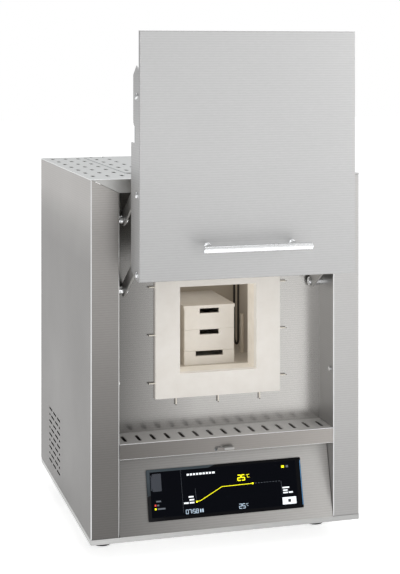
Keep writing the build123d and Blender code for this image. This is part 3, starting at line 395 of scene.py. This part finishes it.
def fibre(name, light, dark, deep_shade=None, lift=None):
    """Pressed fibre board. The first of its two tuples is (near, far, colour) of painted shade along
    the depth, and lift is (near, far, strength) of a painted glow for the light that bounces inside."""
    material, tree, shader = new_material(name)
    mottle = add(tree, "ShaderNodeTexNoise", {
        "Vector": object_position(tree), "Scale": 35.0, "Detail": 6.0, "Roughness": 0.6})
    speck = add(tree, "ShaderNodeTexNoise", {
        "Vector": object_position(tree), "Scale": 700.0, "Detail": 4.0, "Roughness": 0.7})
    base = ramp(tree, mottle.outputs["Fac"], [(MOTTLE_DARK, dark), (MOTTLE_LIGHT, light)])
    if deep_shade:
        near, far, colour = deep_shade
        base = mix_colour(tree, between(tree, object_axis(tree, Y), near, far), base, colour)
    set_shader(tree, shader, Base_Color=base, Roughness=0.92, Specular_IOR_Level=0.2,
               Emission_Color=base)
    if lift:
        near, far, strength = lift
        set_shader(tree, shader, Emission_Strength=between(
            tree, object_axis(tree, Y), near, far, top=strength))
    bump(tree, shader, speck.outputs["Fac"], strength=0.35, distance=0.4 * MM)
    return material


# Painted light: the collar and the boards glow faintly beyond a set depth, for light bouncing inside.
# Painted shade: the front and chamber boards get darker and browner deeper in.
collar_fibre = fibre("Fibre_board_collar", light="#E3DFD9", dark="#DDD8D1",
                     lift=(COLLAR_Y + 0.2 * MM, COLLAR_Y + 0.6 * MM, 0.28))
front_fibre = fibre("Fibre_board_front", light="#E6E0D6", dark="#D9D2C6",
                    deep_shade=(FRONT_Y + 50 * MM, FRONT_Y + 200 * MM, "#CFC9C0"),
                    lift=(COLLAR_Y, COLLAR_Y + 10 * MM, 0.3))
chamber_fibre = fibre("Fibre_board_chamber", light="#D6CFC4", dark="#CBC3B7",
                      deep_shade=(FRONT_Y + 80 * MM, FRONT_Y + 240 * MM, "#B0A697"),
                      lift=(FRONT_Y + 88 * MM, FRONT_Y + 90 * MM, 0.1))
plug_fibre = fibre("Fibre_board_plug", light="#EDE8E0", dark="#DFD9CE")
tray_ceramic = fibre("Fired_alumina_tray", light="#E2DDD5", dark="#DAD4CB")

# %% [markdown]
# The ceramic pins round the collar end in small dark tips. The tips are painted shade: the shadowed
# holes where the pins go into the panel. Dark pieces of their own would do too, but a tint on the
# last millimetre of each pin looks the same. It starts from the box of all the pins, at both sides
# and below, so it lies on the ends whatever the pins' reach.

# %% Painted shade on the ends of the collar pins
PINS_LOW, PINS_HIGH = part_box("collar_pins")
PIN_TIP = 1.1 * MM
PIN_END_SHADE_COLOUR = "#3C3833"

pin_tree = pin_ceramic.node_tree
past_side = scalar(pin_tree, "GREATER_THAN", scalar(pin_tree, "ABSOLUTE", object_axis(pin_tree, X)),
                   PINS_HIGH.x - PIN_TIP)
past_low = scalar(pin_tree, "LESS_THAN", object_axis(pin_tree, Z), PINS_LOW.z + PIN_TIP)
shaded_end = scalar(pin_tree, "MAXIMUM", past_side, past_low)
set_shader(pin_tree, pin_tree.nodes["Principled BSDF"],
           Base_Color=mix_colour(pin_tree, shaded_end, PIN_COLOUR, PIN_END_SHADE_COLOUR))

# %% [markdown]
# The display is black glass. Its upper left mirrors something pale with a slanting edge, and the
# reflection fades towards the bottom. A true mirror image would need that pale thing in the studio
# and would move with the camera, so the glass itself is lightened there.

# %% Display glass
GLEAM_LEAN = -0.35
GLEAM_EDGE = (123.5 * MM, 124.5 * MM)
GLEAM_FADE = (70 * MM, 105 * MM)

glass_black, glass_tree, glass_shader = new_material("Black_display_glass")
slant = scalar(glass_tree, "MULTIPLY", object_axis(glass_tree, X), GLEAM_LEAN)
tilted_height = scalar(glass_tree, "ADD", object_axis(glass_tree, Z), slant)
gleam = scalar(glass_tree, "MULTIPLY", between(glass_tree, tilted_height, *GLEAM_EDGE),
               between(glass_tree, object_axis(glass_tree, Z), *GLEAM_FADE))
set_shader(glass_tree, glass_shader,
           Base_Color=mix_colour(glass_tree, gleam, "#050508", "#2A3034"),
           Roughness=0.08, IOR=1.45, Specular_IOR_Level=0.12,
           Emission_Color=mix_colour(glass_tree, gleam, "#020203", "#3B4348"),
           Emission_Strength=0.55)

# %% [markdown]
# Each solid gets one material, that of the real piece. Setting them one by one would take a line
# for every solid. A table from material to names is easier to check, and a name that doesn't exist
# stops the script at once.

# %% A material for every solid
MATERIAL_OF = {
    door_steel: ["door_skin"],
    side_steel: ["left_side_panel", "back_panel"],
    right_steel: ["right_side_panel"],
    top_steel: ["top_cover", "element_cover"],
    wall_steel: ["front_panel"],
    shelf_steel: ["vent_shelf"],
    fascia_steel: ["control_fascia"],
    pan_steel: ["base_pan"],
    arm_steel: ["lower_arm_left", "lower_arm_right", "upper_arm_left", "upper_arm_right",
                "plug_frame"],
    zinc: ["slider_rails", "deck_plate", "door_brackets"],
    bright: ["handle_bar", "handle_posts", "fan_guard"],
    slider_steel: ["air_slider"],
    bolt_steel: ["flange_bolts", "panel_screws", "pivot_shafts", "door_pins", "foot_studs"],
    black_paint: ["transformer"],
    collar_fibre: ["insulation_collar"],
    front_fibre: ["front_board"],
    chamber_fibre: ["left_board", "right_board", "floor_board", "roof_board", "back_board"],
    plug_fibre: ["door_plug"],
    tray_ceramic: ["sinter_box_low", "sinter_box_middle", "sinter_box_high", "sinter_box_lid"],
    pin_ceramic: ["collar_pins"],
    holder_ceramic: ["element_holders"],
    element_metal: ["heating_elements"],
    tube_ceramic: ["air_inlet_tube", "thermocouple"],
    rubber: ["foot_pads"],
    black_plastic: ["display_frame", "controller_box", "door_switch", "fan_frame", "fan_rotor",
                    "mains_socket", "switch_housing"],
    dark_plastic: ["usb_flap", "flap_hinge", "power_rocker"],
    aluminium: ["bus_bars", "power_controller"],
    copper: ["transformer_coil"],
    glass_black: ["display_glass"],
}
for material, names in MATERIAL_OF.items():
    for name in names:
        NODES[name].data.materials.clear()
        NODES[name].data.materials.append(material)
print("Gave", len(MATERIAL_OF), "materials to", sum(map(len, MATERIAL_OF.values())), "solids")


# %% [markdown]
# The screen shows a heating curve that climbs, levels off and ends in a dashed line, with small
# readings round it. It could be a picture on the glass, but thin flat faces stay sharp from close by
# and need no image. They lie on the glass, which leans back with the fascia, so every mark is placed
# by fractions of the glass's width and height and by three directions: across, up and out.

# %% Where the glass is
FASCIA_SLOPE = math.radians(14.4)
ACROSS = Vector((1, 0, 0))
UP = Vector((0, math.sin(FASCIA_SLOPE), math.cos(FASCIA_SLOPE)))
OUT = Vector((0, -math.cos(FASCIA_SLOPE), math.sin(FASCIA_SLOPE)))
GLASS_LOW, GLASS_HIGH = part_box("display_glass")
GLASS_WIDTH = GLASS_HIGH.x - GLASS_LOW.x
GLASS_HEIGHT = 67.5 * MM
MARK_LIFT = 0.06 * MM

glass_points = [vertex.co for vertex in NODES["display_glass"].data.vertices]
top_edge = max(point.dot(UP) for point in glass_points)
front_face = max(point.dot(OUT) for point in glass_points)
GLASS_TOP_LEFT = Vector((GLASS_LOW.x, 0, 0)) + (UP * top_edge + OUT * front_face)
print("The glass is", GLASS_WIDTH, "wide; its top left corner is at", tuple(GLASS_TOP_LEFT))


def on_glass(x, y, lift=0):
    """A point on the glass from fractions of its width and height, from the top left. lift counts
    steps above the ordinary marks."""
    return (GLASS_TOP_LEFT + ACROSS * (x * GLASS_WIDTH) - UP * (y * GLASS_HEIGHT)
            + OUT * (MARK_LIFT * (1 + lift)))


# %% [markdown]
# A lit mark gives off its own light, so it looks the same in any studio. Emission alone would look
# like a cut-out, so the surface keeps the same colour with a faint gloss.

# %% Lit colours
def glowing(name, colour, strength, gloss=0.3):
    """A lit mark on the screen."""
    material, tree, shader = new_material(name)
    set_shader(tree, shader, Base_Color=colour, Roughness=0.4, Emission_Color=colour,
               Emission_Strength=strength, Specular_IOR_Level=gloss)
    return material


YELLOW = glowing("Lit_yellow", "#E6E000", strength=0.85)
GREY = glowing("Lit_grey", "#565B62", strength=0.4)
WHITE = glowing("Lit_white", "#D5D9DC", strength=0.7)
PALE = glowing("Lit_pale_blue", "#9FB0C0", strength=0.7)
RED = glowing("Lit_red", "#C83A30", strength=0.7)
DARK = glowing("Lit_black", "#101014", strength=0.0)
# The blue line on the glass's right edge is a painted highlight: a glint on the edge that glows,
# though it is no lamp.
GLASS_EDGE_GLINT = glowing("Painted_glass_edge_glint", "#4E88B8", strength=0.5)
PANEL = glowing("Screen_area", "#040509", strength=0.6, gloss=0.02)


# %% [markdown]
# Every mark is made of flat four-sided faces: a bar is one face, and a line is one face per stretch.
# A curve object with a thickness would do too, but a face is all that shows from the front.

# %% Bars, lines and words
WORD_HEIGHT = 0.028
WORD_GAP = 0.006


def mesh_piece(name, bm, material, body="cabinet"):
    """Turn a bmesh into a piece that rides on a body."""
    mesh = bpy.data.meshes.new(name)
    bm.normal_update()
    bm.to_mesh(mesh)
    bm.free()
    mesh.materials.append(material)
    piece = bpy.data.objects.new(name, mesh)
    bpy.context.scene.collection.objects.link(piece)
    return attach(piece, body)


def add_quad(bm, corners):
    """One flat four-sided face."""
    bm.faces.new([bm.verts.new(corner) for corner in corners])


def bar(bm, x0, y0, x1, y1, lift=0):
    """A rectangle on the glass between two corners in fractions."""
    corners = [(x0, y1), (x1, y1), (x1, y0), (x0, y0)]
    add_quad(bm, [on_glass(x, y, lift) for x, y in corners])


def stroke(bm, points, width, lift=0):
    """A line of even width along points on the glass, in fractions."""
    for (xa, ya), (xb, yb) in zip(points, points[1:]):
        a, b = on_glass(xa, ya, lift), on_glass(xb, yb, lift)
        side = (b - a).cross(OUT).normalized() * width / 2
        add_quad(bm, [a - side, a + side, b + side, b - side])


def words(bm, x, y, lengths, height=WORD_HEIGHT):
    """A row of short bars that stands for small print."""
    for length in lengths:
        bar(bm, x, y, x + length, y + height)
        x += length + WORD_GAP


# %% [markdown]
# The readings are drawn as on a pocket calculator: each numeral is a choice of seven strokes, lettered
# a to g. A font would bring a typeface of its own, and at this size the strokes read just as well.

# %% Numerals
SEGMENTS = {"0": "abcdef", "2": "abged", "5": "afgcd", "7": "abc", "8": "abcdefg", "C": "adef"}
DIGIT_STEP = 1.35
COLON_STEP = 0.5
COLON_WIDTH = 0.2
COLON_PLACES = (0.3, 0.7)
COLON_HALF = 0.012
DEGREE_STEP = 0.55
DEGREE_WIDTH = 0.35
DEGREE_HEIGHT = 0.25
DEGREE_WEIGHT = 0.6


def colon(bm, x, y, width, height, lift):
    """Two small squares, one above the other."""
    for place in COLON_PLACES:
        middle = y + height * place
        bar(bm, x, middle - COLON_HALF, x + width * COLON_WIDTH, middle + COLON_HALF, lift)


def degree_sign(bm, x, y, width, height, weight, lift):
    """A small square outline at the top of the row."""
    right, low = x + width * DEGREE_WIDTH, y + height * DEGREE_HEIGHT
    stroke(bm, [(x, y), (right, y), (right, low), (x, low), (x, y)], weight * DEGREE_WEIGHT, lift)


def numeral(bm, sign, left, top, width, height, weight, lift):
    """One numeral or C, from its strokes."""
    right, middle, bottom = left + width, top + height / 2, top + height
    ends = {
        "a": ((left, top), (right, top)), "b": ((right, top), (right, middle)),
        "c": ((right, middle), (right, bottom)), "d": ((left, bottom), (right, bottom)),
        "e": ((left, middle), (left, bottom)), "f": ((left, top), (left, middle)),
        "g": ((left, middle), (right, middle)),
    }
    for segment in SEGMENTS[sign]:
        stroke(bm, ends[segment], weight, lift)


def number(bm, text, x, y, width, height, weight, lift=0):
    """A row of numerals; : is a colon, o the degree sign and C a capital."""
    for sign in text:
        if sign == ":":
            colon(bm, x, y, width, height, lift)
            x += width * COLON_STEP
        elif sign == "o":
            degree_sign(bm, x, y, width, height, weight, lift)
            x += width * DEGREE_STEP
        else:
            numeral(bm, sign, x, y, width, height, weight, lift)
            x += width * DIGIT_STEP


# %% [markdown]
# The yellow marks are what a user looks for: the curve with a square at each end, the temperature
# above it, and two small lamps. They lie one step above the other marks, so that where they cross
# the yellow is on top.

# %% Yellow and grey marks
CURVE = [(0.308, 0.69), (0.333, 0.675), (0.474, 0.444), (0.675, 0.435)]
CURVE_WIDTH = 0.75 * MM
AXIS_WIDTH = 0.22 * MM
DIVIDER_WIDTH = 0.16 * MM
DASHES = 9
DASH_START = 0.69
DASH_PITCH = 0.0192
DASH_LENGTH = 0.01
DASH_HEIGHT = 0.434
DASH_WIDTH = 0.4 * MM


def yellow_marks(bm):
    """The curve, its end squares, the temperature and two lamps."""
    stroke(bm, CURVE, CURVE_WIDTH, 1)
    bar(bm, 0.303, 0.672, 0.313, 0.708, 2)
    bar(bm, 0.67, 0.416, 0.68, 0.452, 2)
    number(bm, "25", 0.58, 0.25, width=0.019, height=0.105, weight=1.3 * MM, lift=1)
    number(bm, "oC", 0.636, 0.25, width=0.013, height=0.055, weight=0.6 * MM, lift=1)
    bar(bm, 0.87, 0.135, 0.888, 0.18, 1)
    bar(bm, 0.041, 0.745, 0.051, 0.78, 1)


def grey_marks(bm):
    """The upright lines of the drawing, the dashed end of the curve, and dim small print."""
    stroke(bm, [(0.302, 0.43), (0.306, 0.67)], AXIS_WIDTH)
    stroke(bm, [(0.861, 0.44), (0.863, 0.71)], AXIS_WIDTH)
    for dash in range(DASHES):
        x = DASH_START + dash * DASH_PITCH
        stroke(bm, [(x, DASH_HEIGHT), (x + DASH_LENGTH, DASH_HEIGHT)], DASH_WIDTH)
    stroke(bm, [(0.216, 0.05), (0.22, 0.88)], DIVIDER_WIDTH)
    bar(bm, 0.9, 0.135, 0.915, 0.18)
    words(bm, 0.052, 0.605, [0.03])
    words(bm, 0.057, 0.68, [0.012])
    words(bm, 0.057, 0.75, [0.05])


# %% [markdown]
# White marks stand for the heading, the small print and the start button, and pale blue ones for
# the clock and the second temperature. Letters would be too fine to read from where the camera
# stands, and a row of short bars gives the same texture with few faces.

# %% White and pale marks
HEADING = [0.014, 0.014, 0.014, 0.014, 0.016, 0.014, 0.014, 0.014, 0.018]
HEADING_HEIGHT = 0.038


def white_marks(bm):
    """The heading, the small print beside the curve, and the button."""
    words(bm, 0.254, 0.135, HEADING, HEADING_HEIGHT)
    words(bm, 0.257, 0.572, [0.032])
    words(bm, 0.262, 0.63, [0.03])
    words(bm, 0.226, 0.685, [0.03, 0.03], height=0.03)
    words(bm, 0.867, 0.56, [0.045])
    words(bm, 0.87, 0.612, [0.03])
    words(bm, 0.87, 0.66, [0.03, 0.028])
    bar(bm, 0.862, 0.765, 0.952, 0.905)


def pale_marks(bm):
    """The clock and the second temperature."""
    number(bm, "07", 0.236, 0.83, width=0.014, height=0.075, weight=0.7 * MM)
    number(bm, ":58", 0.2745, 0.83, width=0.014, height=0.075, weight=0.7 * MM)
    words(bm, 0.325, 0.835, [0.008, 0.008], height=0.065)
    number(bm, "25", 0.578, 0.815, width=0.016, height=0.085, weight=0.8 * MM)
    number(bm, "oC", 0.622, 0.815, width=0.01, height=0.045, weight=0.35 * MM)


# %% [markdown]
# One piece for each mark would be easy to pick, but marks of one colour share a piece, which keeps
# the model light. The dark screen area lies closest to the glass, and the small mark lies on top of
# its button.

# %% Draw the screen
def draw(name, material, marks):
    """Make one piece from a function that draws marks into a bmesh."""
    bm = bmesh.new()
    marks(bm)
    return mesh_piece(name, bm, material)


screen_pieces = [
    draw("screen_area", PANEL, lambda bm: bar(bm, 0.02, 0.05, 0.965, 0.93, -0.6)),
    draw("screen_yellow", YELLOW, yellow_marks),
    draw("screen_grey", GREY, grey_marks),
    draw("screen_white", WHITE, white_marks),
    draw("screen_pale", PALE, pale_marks),
    draw("screen_red", RED, lambda bm: bar(bm, 0.041, 0.675, 0.051, 0.71, 1)),
    draw("screen_button_mark", DARK, lambda bm: bar(bm, 0.899, 0.805, 0.917, 0.865, 2)),
    # The glass's right edge gets a painted highlight, a glint that glows.
    draw("glass_edge_painted_glint", GLASS_EDGE_GLINT, lambda bm: bar(bm, 0.9935, 0.06, 0.9965, 0.94, 1)),
]
print("Drew", len(screen_pieces), "pieces on the display")

# %% [markdown]
# The camera stands left of the furnace and a little above it, and looks level. Tilting it down
# would make upright edges lean, so its picture is shifted down instead, as product photographers do.
# Its place was found by fitting the furnace's edges to the photograph.

# %% Camera
CAMERA_FROM_LEFT = -367.9 * MM
CAMERA_FROM_FRONT = -1794.6 * MM
CAMERA_HEIGHT = 653.7 * MM
CAMERA_YAW = 0.28166
FOCAL_PIXELS = 1372.364
PICTURE_HEIGHT = 574
HORIZON_ROW = 54.727
SENSOR = 36
CLIP_END = 50

camera_data = bpy.data.cameras.new("Camera")
camera_data.sensor_width = SENSOR
camera_data.lens = FOCAL_PIXELS / PICTURE_HEIGHT * SENSOR
camera_data.shift_y = (HORIZON_ROW - PICTURE_HEIGHT / 2) / PICTURE_HEIGHT
camera_data.clip_end = CLIP_END
camera = bpy.data.objects.new("Camera", camera_data)
camera.location = (LEFT_X + CAMERA_FROM_LEFT, FRONT_Y + CAMERA_FROM_FRONT, FOOT_HEIGHT + CAMERA_HEIGHT)
camera.rotation_euler = (math.pi / 2, 0, -CAMERA_YAW)
bpy.context.scene.collection.objects.link(camera)
bpy.context.scene.camera = camera
print("The camera stands at", tuple(camera.location), "with a lens of", camera_data.lens)

# %% [markdown]
# The studio is bright all round and darkest at the left, which is what the left side mirrors. An
# image of a studio could light it, but three tones across the world are enough for sheet metal.
# Where the camera looks past the furnace, the tone is pure white, whatever the world's strength.

# %% World
WORLD_STRENGTH = 0.73
WORLD_LEFT_TO_RIGHT = (-0.9, 0.7)
WORLD_TONES = [(0.0, "#C8C8C8"), (0.45, "#DEDEDE"), (1.0, "#FFFFFF")]
WHITE_BEHIND = [1 / WORLD_STRENGTH] * 3 + [1]

world = bpy.data.worlds.new("Studio")
bpy.context.scene.world = world
world.use_nodes = True
world_tree = world.node_tree
direction = add(world_tree, "ShaderNodeTexCoord").outputs["Generated"]
sideways = add(world_tree, "ShaderNodeSeparateXYZ", {0: direction}).outputs[X]
tone = ramp(world_tree, between(world_tree, sideways, *WORLD_LEFT_TO_RIGHT), WORLD_TONES)
seen = add(world_tree, "ShaderNodeLightPath").outputs["Is Camera Ray"]
background = world_tree.nodes["Background"]
plug(world_tree, background.inputs["Color"], mix_colour(world_tree, seen, tone, WHITE_BEHIND))
plug(world_tree, background.inputs["Strength"], WORLD_STRENGTH)

# %% [markdown]
# Three large soft lights stand right of the furnace, above it and in front of it. Small lights would
# leave hard spots on brushed metal. A very weak one under the chamber's roof stands for light that
# has bounced in through the mouth, and the camera doesn't see it.

# %% Lights
CHAMBER_MIDDLE_Y = FRONT_Y + 150 * MM
CHAMBER_LIGHT_Z = 372 * MM
CHAMBER_AIM_Z = 300 * MM


def panel_light(name, place, aim, size, power):
    """A soft rectangular studio light."""
    data = bpy.data.lights.new(name, "AREA")
    data.shape = "RECTANGLE"
    data.size, data.size_y = size
    data.energy = power
    light = bpy.data.objects.new(name, data)
    bpy.context.scene.collection.objects.link(light)
    light.location = place
    light.rotation_euler = (Vector(aim) - Vector(place)).to_track_quat("-Z", "Y").to_euler()
    print("The light", name, "has a power of", power)
    return light


panel_light("Key", place=(1.5, -1.5, 1.2), aim=(0, 0, 0.35), size=(1.0, 1.6), power=10.3)
panel_light("Top", place=(0.1, 0.4, 2.2), aim=(0, 0, 0.4), size=(1.4, 1.4), power=7.4)
panel_light("Front_fill", place=(-0.3, -2.4, 0.7), aim=(0, 0, 0.35), size=(1.6, 1.2), power=7.4)
chamber_light = panel_light("Chamber_light", place=(0, CHAMBER_MIDDLE_Y, CHAMBER_LIGHT_Z),
                            aim=(0, CHAMBER_MIDDLE_Y, CHAMBER_AIM_Z), size=(0.1, 0.1), power=0.012)
chamber_light.visible_camera = False

# %% [markdown]
# The furnace stands on a white floor that runs into the white behind it. A curved backdrop would do
# the same with more faces. The floor gives off some light of its own, so it stays white apart from
# a soft shadow under the furnace. It is staging, not part of the furnace.

# %% Floor
FLOOR_REACH = 12

floor_bm = bmesh.new()
bmesh.ops.create_grid(floor_bm, x_segments=1, y_segments=1, size=FLOOR_REACH)
floor_mesh = bpy.data.meshes.new("Floor")
floor_bm.to_mesh(floor_mesh)
floor_bm.free()
floor_material, floor_tree, floor_shader = new_material("Pale_floor")
set_shader(floor_tree, floor_shader, Base_Color="#F7F7F7", Roughness=0.8,
           Emission_Color="#FFFFFF", Emission_Strength=0.6)
floor_mesh.materials.append(floor_material)
floor = bpy.data.objects.new("Floor", floor_mesh)
bpy.context.scene.collection.objects.link(floor)

# %% [markdown]
# The standard view shows tones as they are. A film-like view would soften the whites, and the
# background would turn grey.

# %% View
view = bpy.context.scene.view_settings
view.view_transform = "Standard"
view.look = "None"
view.exposure = 0.0
